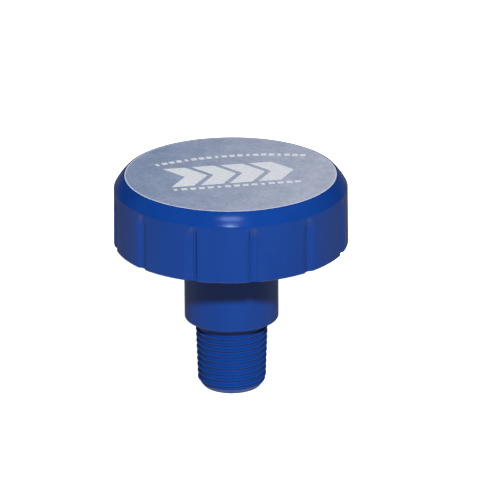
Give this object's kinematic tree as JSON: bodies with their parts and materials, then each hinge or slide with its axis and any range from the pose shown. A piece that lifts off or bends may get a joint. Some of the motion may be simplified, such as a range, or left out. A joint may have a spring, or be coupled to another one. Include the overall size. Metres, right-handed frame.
{
  "type": "pneumatic muffler",
  "caption": "Moulded compressed-air exhaust muffler: wide grip-grooved screw cap with a round face label, slotted base, round boss and taper pipe-threaded stem.",
  "frame": {"origin": "centre of the threaded stem's end face, the lowest point of the part", "axes": "+Z along the axis, from the stem up to the cap's label; +X to the right as the label is read"},
  "size_m": [0.0342, 0.0342, 0.0329],
  "materials": {
    "blue_plastic": "satin moulded",
    "label_film": "satin printed film",
    "wire_mesh": "woven wire",
    "tube_plastic": "natural moulded",
    "felt": "pressed fibre",
    "baffle_sheet": "punched sheet",
    "seal_rubber": "matte",
    "plate_plastic": "moulded",
    "clip_steel": "spring steel"
  },
  "bodies": {
    "base": {"stem_body": "blue_plastic", "inlet_screen": "wire_mesh", "diffuser_tube": "tube_plastic", "diffuser_plug": "tube_plastic", "wire_sleeve": "wire_mesh", "boss_felt_sleeve": "felt", "exhaust_screen": "wire_mesh", "felt_ring_lower": "felt", "baffle_plate_lower": "baffle_sheet", "felt_ring_middle": "felt", "baffle_plate_upper": "baffle_sheet", "felt_ring_upper": "felt", "cap_seal": "seal_rubber"},
    "plate": {"pressure_plate": "plate_plastic"},
    "cap": {"cap": "blue_plastic", "face_label": "label_film", "roof_felt": "felt", "retaining_clip": "clip_steel"}
  },
  "joints": [
    {"name": "cap_lift", "type": "slide", "parent": "base", "child": "plate", "axis": [0, 0, 1], "range_m": [0, 0.004]},
    {"name": "cap_turn", "type": "hinge", "parent": "plate", "child": "cap", "pos_m": [0, 0, 0.03], "axis": [0, 0, 1], "range_deg": [0, 720]}
  ],
  "couplings": [
    {"joint": "cap_turn", "follows": "cap_lift", "rad_per_m": 3141.6}
  ]
}
